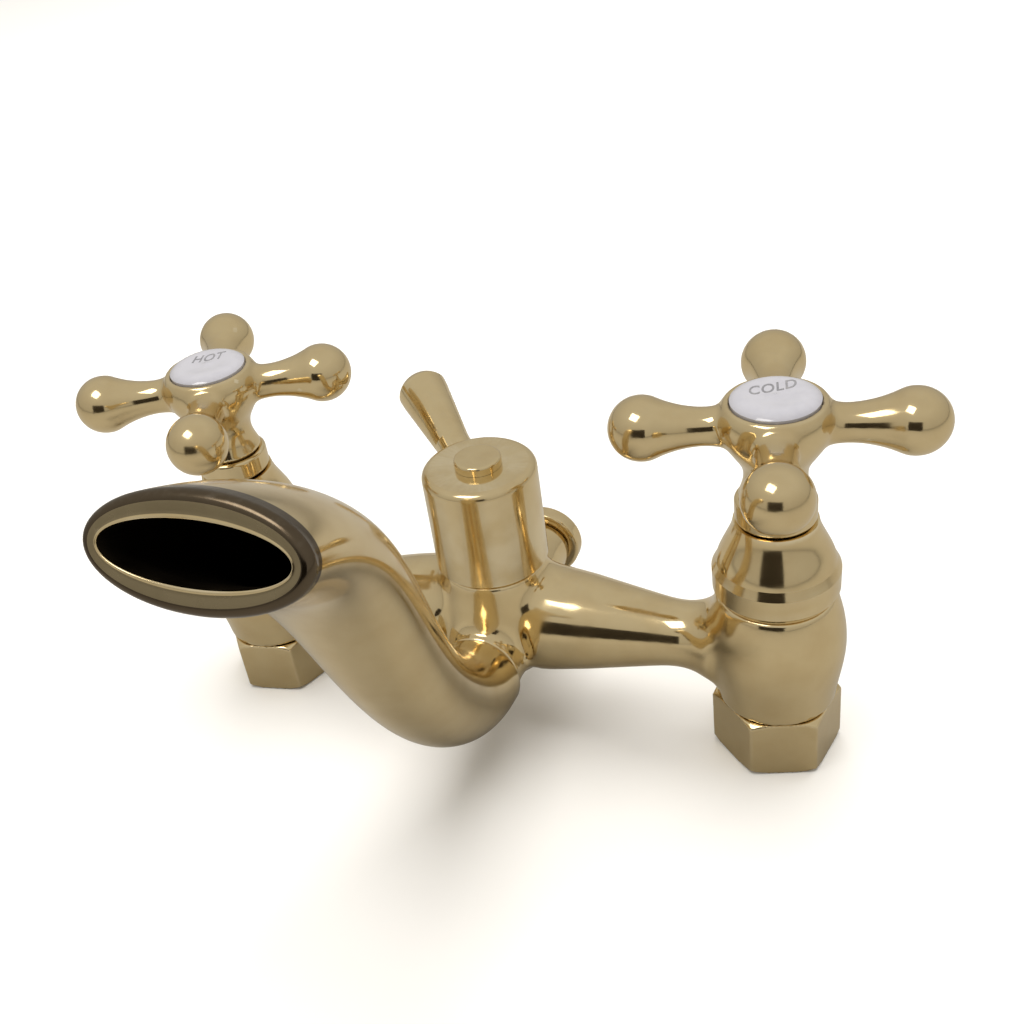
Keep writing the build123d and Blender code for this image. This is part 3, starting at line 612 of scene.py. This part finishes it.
@dataclass
class SwanSpout:
    """The swan-necked spout with its flat oval mouth, all sizes in millimetres."""

    spine: tuple = ((-19.3, 25.5), (-48, 25.5), (-70, 68), (-69.5, 100.5), (-81.1, 119.7), (-115.3, 135.6))
    root_r: float = 12.0
    mouth_w: float = 23.2
    mouth_h: float = 11.0
    opening_w: float = 19.4
    opening_h: float = 5.8
    wall: float = 2.6
    lip_round: float = 2.0
    lip_start: float = 0.72
    rim_start: float = 0.982
    root_round: float = 2.0
    socket_r: float = 7.98
    socket_depth: float = 8.0
    socket_mouth: float = 0.2
    root_gap: float = 0.2
    first: float = 0.04
    bore_from: float = 0.985
    bore_to: float = 0.08
    face_profile: tuple = ((0.15, 0.0), (0.5, 0.06), (0.72, 0.10), (0.80, 0.02), (0.88, -0.02), (0.95, 0.05))
    edge_share: float = 0.8
    edge_depth: float = 0.45
    around: int = 128
    along: int = 150
    root_steps: int = 4
    lip_steps: int = 12

    def point(self, at: float) -> tuple[Vector, Vector]:
        """The spine's point and unit direction at a parameter from 0 to 1."""
        points = [Vector((0, y, z)) for y, z in self.spine]
        previous = points
        while len(points) > 1:
            previous = points
            points = [a.lerp(b, at) for a, b in zip(points, points[1:])]
        return points[0], (previous[1] - previous[0]).normalized()

    def outside(self, at: float) -> tuple[float, float]:
        """Half width and half height of the outside at a parameter."""
        wide = self.root_r + (self.mouth_w - self.root_r) * at**1.8
        return wide, self.root_r + math.sin(math.pi * at) - (self.root_r - self.mouth_h) * at

    def bore(self, at: float) -> tuple[float, float]:
        """Half width and half height of the waterway at a parameter."""
        wide, high = self.outside(at)
        lip = max(0.0, (at - self.lip_start) / (1 - self.lip_start)) ** 2
        return (wide - self.wall - lip * (self.mouth_w - self.wall - self.opening_w),
                high - self.wall - lip * (self.mouth_h - self.wall - self.opening_h))

    def ring(self, at: float, wide: float, high: float, ahead: float = 0.0) -> Ring:
        """An oval ring of points about the spine, moved ahead along it."""
        centre, way = self.point(at)
        across = Vector((1, 0, 0))
        up = way.cross(across)
        spots = []
        for step in range(self.around):
            angle = 2 * math.pi * step / self.around
            spots.append(centre + way * ahead + across * wide * math.cos(angle) + up * high * math.sin(angle))
        return spots

    def root_rings(self) -> list[tuple[Ring, Zone]]:
        """The rounded end that meets the barrel."""
        made = []
        for step in range(self.root_steps + 1):
            turn = math.pi / 2 * step / self.root_steps
            inset = self.root_round * (1 - math.sin(turn))
            spots = self.ring(0, self.root_r - inset, self.root_r - inset,
                              self.root_round * (1 - math.cos(turn)))
            made.append((spots, Zone.POLISHED))
        return made

    def outside_rings(self) -> list[tuple[Ring, Zone]]:
        """The polished outside, up to the rolled rim; its last stretch already takes the rim's painted dark
        reflection.
        """
        made = []
        end_speed = 5 * math.dist(self.spine[-1], self.spine[-2])
        last = 1 - self.lip_round / end_speed
        for step in range(self.along + 1):
            at = self.first + (last - self.first) * step / self.along
            made.append((self.ring(at, *self.outside(at)), Zone.RIM if at > self.rim_start else Zone.POLISHED))
        return made

    def lip_rings(self) -> list[tuple[Ring, Zone]]:
        """The rolled rim round the mouth, coloured with a painted dark reflection."""
        made = []
        for step in range(1, self.lip_steps + 1):
            turn = math.pi / 2 * step / self.lip_steps
            inset = self.lip_round * (1 - math.cos(turn))
            spots = self.ring(1, self.mouth_w - inset, self.mouth_h - inset,
                              -self.lip_round * (1 - math.sin(turn)))
            made.append((spots, Zone.RIM))
        return made

    def face_rings(self) -> list[tuple[Ring, Zone]]:
        """The satin band of the mouth's face, slightly hollow and coloured darker with a painted reflection, and its
        bright inner edge.
        """
        made = []
        face_w, face_h = self.mouth_w - self.lip_round, self.mouth_h - self.lip_round
        for share, sink in self.face_profile:
            wide = face_w + (self.opening_w - face_w) * share
            high = face_h + (self.opening_h - face_h) * share
            zone = Zone.BAND if share < self.edge_share else Zone.INNER_EDGE
            made.append((self.ring(1, wide, high, -sink), zone))
        made.append((self.ring(1, self.opening_w, self.opening_h, -self.edge_depth), Zone.INNER_EDGE))
        return made

    def bore_rings(self) -> list[tuple[Ring, Zone]]:
        """The waterway back to the root, the nipple's socket and the flat root face; the first two carry tarnish
        darkened with painted shade.
        """
        made = []
        steps = self.along // 2
        for step in range(steps + 1):
            at = self.bore_from - (self.bore_from - self.bore_to) * step / steps
            made.append((self.ring(at, *self.bore(at)), Zone.WATERWAY))
        for ahead in (self.socket_depth, self.socket_mouth):
            made.append((self.ring(0, self.socket_r, self.socket_r, ahead), Zone.WATERWAY))
        flat = self.root_r - self.root_round - self.root_gap
        made.append((self.ring(0, flat, flat), Zone.POLISHED))
        return made

    def build(self) -> bpy.types.Object:
        """Loft the rings, out over the lip and back down the bore, into one closed shell."""
        shape = bmesh.new()
        loops, zones = [], []
        rings = self.root_rings() + self.outside_rings() + self.lip_rings()
        rings += self.face_rings() + self.bore_rings()
        for spots, zone in rings:
            loops.append(([shape.verts.new(spot * MM) for spot in spots], zone))
        for index, (lower, _) in enumerate(loops):
            upper, zone = loops[(index + 1) % len(loops)]
            for step in range(self.around):
                after = (step + 1) % self.around
                shape.faces.new((lower[step], lower[after], upper[after], upper[step]))
                zones.append(zone)
        bmesh.ops.recalc_face_normals(shape, faces=shape.faces)
        mesh = bpy.data.meshes.new("swan_spout")
        shape.to_mesh(mesh)
        shape.free()
        piece = mesh_object("swan_spout", mesh, [SPOUT_FINISHES[zone] for zone in Zone])
        mesh.polygons.foreach_set("material_index", zones)
        mesh.update()
        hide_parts("spout")
        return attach(piece, "faucet_body")


VALVE_FINISHES = (
    (POLISHED, ("bonnet", "lock_ring")),
    (MACHINED, ("inlet_tail", "cartridge_body", "stem", "handle_screw")),
    (RUBBER, ("inlet_washer", "seat_seal", "stem_o_rings")),
    (CERAMIC, ("fixed_disc", "moving_disc")),
    (PORCELAIN, ("index_button",)),
)
DIVERTER_FINISHES = (
    (POLISHED, ("diverter_hub", "diverter_lever", "diverter_cap_screw")),
    (MACHINED, ("diverter_bonnet", "diverter_sleeve", "diverter_spool", "diverter_stem", "spout_nipple")),
    (RUBBER, ("diverter_stem_o_rings", "spout_o_ring")),
    (STEEL, ("spout_set_screw",)),
)


@dataclass
class ButtonLettering:
    """Raised grey lettering that follows a button's dome, in millimetres."""

    side: Side
    centre: Vector
    height: float = 4.9
    turn: float = 27.0
    rise: float = 3.2
    lean: float = 0.35
    narrow: float = 0.8
    spacing: float = 1.08
    swell: float = 0.06
    proud: float = 0.035
    depth: float = 0.06

    def build(self) -> bpy.types.Object:
        """Set the word, cut it fine and lay it on the button's dome.

        Returns:
            The lettering, a hair proud of the glaze.
        """
        line = bpy.data.curves.new(f"{self.side.value}_word", "FONT")
        line.body = self.side.name
        line.size = self.height * MM
        line.shear = self.lean
        line.align_x, line.align_y = "CENTER", "CENTER"
        line.space_character = self.spacing
        line.offset = self.swell * MM
        holder = bpy.data.objects.new(f"{self.side.value}_word", line)
        bpy.context.scene.collection.objects.link(holder)
        bpy.context.view_layer.update()
        mesh = bpy.data.meshes.new_from_object(holder.evaluated_get(bpy.context.evaluated_depsgraph_get()))
        bpy.data.objects.remove(holder)
        shape = bmesh.new()
        shape.from_mesh(mesh)
        bmesh.ops.remove_doubles(shape, verts=shape.verts, dist=1e-7)
        bmesh.ops.triangulate(shape, faces=shape.faces)
        bmesh.ops.subdivide_edges(shape, edges=shape.edges, cuts=2, use_grid_fill=True)
        spin = Matrix.Rotation(math.radians(self.turn), 4, "Z")
        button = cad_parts[f"{self.side.value}_index_button"]
        ground = BVHTree.FromObject(button, bpy.context.evaluated_depsgraph_get())
        above = self.centre.z + MM
        for vert in shape.verts:
            spot = self.centre + spin @ Vector((vert.co.x * self.narrow, vert.co.y + self.rise * MM, 0))
            touched = ground.ray_cast(Vector((spot.x, spot.y, above)), Vector((0, 0, -1)))[0]
            level = touched.z if touched else self.centre.z - MM
            vert.co = Vector((spot.x, spot.y, level + self.proud * MM))
        bmesh.ops.solidify(shape, geom=shape.faces[:], thickness=self.depth * MM)
        bmesh.ops.recalc_face_normals(shape, faces=shape.faces)
        shape.to_mesh(mesh)
        shape.free()
        piece = mesh_object(f"{self.side.value}_button_lettering", mesh, [ENAMEL])
        return piece


@dataclass
class ValveSide:
    """One valve: union nut, bonnet, lock ring, cross handle, button and lettering."""

    side: Side
    handle_voxel: float = 0.42
    nut_voxel: float = 0.34
    arm_start: tuple = (9.5, 11.5)
    arm_fade: tuple = (20.0, 15.0)
    cup_top: tuple = (103.4, 102.2)
    join_rounds: int = 40
    handle_rounds: int = 4
    nut_rounds: int = 3
    thread_r: float = 9.55
    thread_length: float = 6.2
    thread_base: float = 0.7

    def handle_mesh(self) -> bpy.types.Mesh:
        """Remake the cross handle and melt its arms into the cup."""
        mesh = evenly_meshed(f"{self.side.value}_handle", self.handle_voxel)
        spots = places(mesh)
        middle = (spots.min(0) + spots.max(0)) / 2
        reach = np.hypot(spots[:, 0] - middle[0], spots[:, 1] - middle[1])
        join = step_up(reach, *self.arm_start) * step_up(reach, *self.arm_fade)
        join *= step_up(spots[:, 2], *self.cup_top)
        relax(mesh, join, self.join_rounds)
        relax(mesh, np.ones(len(spots)), self.handle_rounds)
        return mesh

    def hex_nut(self) -> list[bpy.types.Object]:
        """Remake the union nut with softened edges and wind its thread inside."""
        key = self.side.value
        mesh = evenly_meshed(f"{key}_union_nut", self.nut_voxel)
        relax(mesh, np.ones(len(mesh.vertices)), self.nut_rounds)
        nut = stand_in(f"{key}_hex_nut", f"{key}_union_nut", mesh)
        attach(nut, f"{key}_nut_body")
        low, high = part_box(f"{key}_union_nut")
        base = Matrix.Translation(((low.x + high.x) / 2, (low.y + high.y) / 2, self.thread_base * MM))
        thread = ThreadTurns(f"{key}_nut_thread", self.thread_r, self.thread_length).build(base, MACHINED)
        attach(thread, f"{key}_nut_body")
        return [nut, thread]

    def lettering(self) -> bpy.types.Object:
        """Letter the index button, so that the word turns with the handle."""
        key = self.side.value
        low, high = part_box(f"{key}_index_button")
        middle = Vector(((low.x + high.x) / 2, (low.y + high.y) / 2, high.z))
        word = ButtonLettering(self.side, middle).build()
        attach(word, f"{key}_handle_body")
        return word

    def build(self) -> list[bpy.types.Object]:
        """Remake the handle and nut, letter the button and dress the rest.

        Returns:
            The pieces that were made.
        """
        key = self.side.value
        handle = stand_in(f"{key}_cross_handle", f"{key}_handle", self.handle_mesh())
        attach(handle, f"{key}_handle_body")
        pieces = [handle, *self.hex_nut(), self.lettering()]
        for finish, parts in VALVE_FINISHES:
            for part in parts:
                dress_node(f"{key}_{part}", finish)
        return pieces


@dataclass
class Diverter:
    """The diverter's hub, lever and cap, and the works and spout fixings inside the barrel."""

    def build(self) -> None:
        """Dress the diverter's nodes."""
        for finish, nodes in DIVERTER_FINISHES:
            for node in nodes:
                dress_node(node, finish)


@dataclass
class ShowerOutlet:
    """The collar and its female thread, wound inside the outlet's plain bore."""

    radius: float = 9.45
    length: float = 3.5
    pitch: float = 1.8
    ridge: float = 0.45
    start_depth: float = 4.1

    def build(self) -> bpy.types.Object:
        """Dress the outlet and wind its thread."""
        dress_node("shower_outlet", POLISHED)
        low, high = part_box("shower_outlet")
        middle = (low.z + high.z) / 2
        base = Matrix.Translation((0, high.y - self.start_depth * MM, middle))
        base @= Matrix.Rotation(math.radians(-90), 4, "X")
        thread = ThreadTurns("shower_outlet_thread", self.radius, self.length, self.pitch, self.ridge)
        piece = thread.build(base, MACHINED)
        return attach(piece, "faucet_body")


# ---------------------------------------------------------------- studio


@dataclass(frozen=True)
class SoftBox:
    """An area light aimed at the faucet; place and size in metres."""

    name: str
    place: Colour
    width: float
    height: float
    power: float
    tint: Colour = (1.0, 0.97, 0.92)
    mirrored: bool = True

    def build(self, target: Vector) -> None:
        """Add the light, facing the target; polished metal shows it only if mirrored."""
        lamp = bpy.data.lights.new(self.name, "AREA")
        lamp.shape = "RECTANGLE"
        lamp.size, lamp.size_y = self.width, self.height
        lamp.energy = self.power
        lamp.color = self.tint
        thing = bpy.data.objects.new(self.name, lamp)
        thing.visible_glossy = self.mirrored
        thing.location = self.place
        thing.rotation_euler = (target - Vector(self.place)).to_track_quat("-Z", "Y").to_euler()
        bpy.context.scene.collection.objects.link(thing)


@dataclass(frozen=True)
class Flag:
    """A dark card beside the faucet, which polished metal mirrors as its dark bands."""

    name: str
    place: Colour
    width: float
    height: float
    shade: Colour = (0.03, 0.024, 0.018)
    roughness: float = 0.9

    def build(self, target: Vector) -> None:
        """Add the card, facing the target."""
        wide, high = self.width / 2, self.height / 2
        mesh = bpy.data.meshes.new(self.name)
        mesh.from_pydata([(-wide, -high, 0), (wide, -high, 0), (wide, high, 0), (-wide, high, 0)], [], [(0, 1, 2, 3)])
        thing = bpy.data.objects.new(self.name, mesh)
        thing.location = self.place
        thing.rotation_euler = (target - Vector(self.place)).to_track_quat("-Z", "Y").to_euler()
        material, tree, shader = start_material(self.name)
        shader.inputs["Base Color"].default_value = (*self.shade, 1.0)
        shader.inputs["Roughness"].default_value = self.roughness
        mesh.materials.append(material)
        thing.visible_camera = False
        thing.visible_shadow = False
        thing.visible_diffuse = False
        bpy.context.scene.collection.objects.link(thing)


@dataclass
class Studio:
    """Camera, pale floor, room and lights."""

    azimuth: float = 26.99
    elevation: float = 33.49
    roll: float = -9.99
    place: Colour = (0.11845, -0.24755, 0.24815)
    lens: float = 43.36
    shift_x: float = 0.0508
    sensor: float = 36.0
    clip_start: float = 0.01
    target: Colour = (0, -0.03, 0.06)
    floor_reach: float = 6.0
    floor_drop: float = 0.0002
    floor_seen: Colour = (0.93, 0.93, 0.93)
    floor_mirrored: tuple = ((0.36, 0.35, 0.33), (0.39, 0.38, 0.36))
    floor_grain: float = 30.0
    room_low: Colour = (0.46, 0.44, 0.40)
    room_high: Colour = (0.60, 0.58, 0.54)
    room_high_at: float = 0.75
    boxes: tuple = (
        SoftBox("key_softbox", (-0.25, -0.50, 1.18), 0.55, 0.45, 3.4),
        SoftBox("floor_softbox", (0.1, 0.5, 1.9), 1.8, 1.8, 40.0, mirrored=False),
    )
    flags: tuple = (Flag("front_flag", (0.1, -1.1, 0.30), 0.9, 0.55),)

    def camera(self) -> None:
        """Place the camera."""
        side, lift, roll = (math.radians(angle) for angle in (self.azimuth, self.elevation, self.roll))
        back = Vector((math.sin(side) * math.cos(lift), -math.cos(side) * math.cos(lift), math.sin(lift)))
        right = Vector((math.cos(side), math.sin(side), 0))
        up = back.cross(right)
        turned_right = right * math.cos(roll) + up * math.sin(roll)
        turned_up = up * math.cos(roll) - right * math.sin(roll)
        data = bpy.data.cameras.new("camera")
        data.sensor_width, data.lens, data.shift_x = self.sensor, self.lens, self.shift_x
        data.clip_start = self.clip_start
        thing = bpy.data.objects.new("camera", data)
        pose = Matrix((turned_right, turned_up, back)).transposed().to_4x4()
        pose.translation = Vector(self.place)
        thing.matrix_world = pose
        bpy.context.scene.collection.objects.link(thing)
        bpy.context.scene.camera = thing

    def floor(self) -> None:
        """Lay a plain pale floor with a faint grain, which metal mirrors dimmer than it is seen."""
        mesh = bpy.data.meshes.new("pale_floor")
        reach = self.floor_reach
        mesh.from_pydata([(-reach, -reach, 0), (reach, -reach, 0), (reach, reach, 0), (-reach, reach, 0)], [],
                         [(0, 1, 2, 3)])
        thing = bpy.data.objects.new("pale_floor", mesh)
        thing.location = (0, 0, -self.floor_drop)
        material, tree, shader = start_material("pale_floor")
        place = tree.nodes.new("ShaderNodeTexCoord").outputs["Object"]
        grain = noise(tree, place, self.floor_grain, 3.0)
        dim = mixed(tree, grain.outputs["Fac"], *self.floor_mirrored)
        seen = tree.nodes.new("ShaderNodeLightPath").outputs["Is Camera Ray"]
        tree.links.new(mixed(tree, seen, dim, self.floor_seen), shader.inputs["Base Color"])
        shader.inputs["Roughness"].default_value = 0.9
        shader.inputs["Specular IOR Level"].default_value = 0.1
        mesh.materials.append(material)
        bpy.context.scene.collection.objects.link(thing)

    def room(self) -> None:
        """Set the room's light: brighter overhead, dimmer and warmer towards the horizon."""
        world = bpy.data.worlds.new("room")
        bpy.context.scene.world = world
        world.use_nodes = True
        tree = world.node_tree
        background = tree.nodes["Background"]
        split = tree.nodes.new("ShaderNodeSeparateXYZ")
        tree.links.new(tree.nodes.new("ShaderNodeTexCoord").outputs["Generated"], split.inputs["Vector"])
        level = tree.nodes.new("ShaderNodeValToRGB")
        level.color_ramp.elements[0].position = 0.0
        level.color_ramp.elements[0].color = (*self.room_low, 1)
        level.color_ramp.elements[1].position = self.room_high_at
        level.color_ramp.elements[1].color = (*self.room_high, 1)
        tree.links.new(split.outputs["Z"], level.inputs["Fac"])
        seen = tree.nodes.new("ShaderNodeLightPath")
        pick = tree.nodes.new("ShaderNodeMix")
        pick.data_type = "RGBA"
        tree.links.new(seen.outputs["Is Camera Ray"], pick.inputs["Factor"])
        tree.links.new(level.outputs["Color"], pick.inputs["A"])
        pick.inputs["B"].default_value = (1, 1, 1, 1)
        tree.links.new(pick.outputs["Result"], background.inputs["Color"])
        background.inputs["Strength"].default_value = 1.0

    def build(self) -> None:
        """Build the whole studio."""
        self.camera()
        self.floor()
        self.room()
        target = Vector(self.target)
        for thing in (*self.boxes, *self.flags):
            thing.build(target)
        bpy.context.scene.view_settings.view_transform = "Standard"


def main() -> None:
    """Build and dress the mixer, log each made piece's face count, then build the studio."""
    logging.basicConfig(level=logging.INFO)
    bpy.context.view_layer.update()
    pieces = [BodyCasting().build(), SwanSpout().build()]
    for side in Side:
        pieces += ValveSide(side).build()
    Diverter().build()
    pieces.append(ShowerOutlet().build())
    for piece in pieces:
        report(piece)
    Studio().build()


if __name__ == "__main__":
    main()
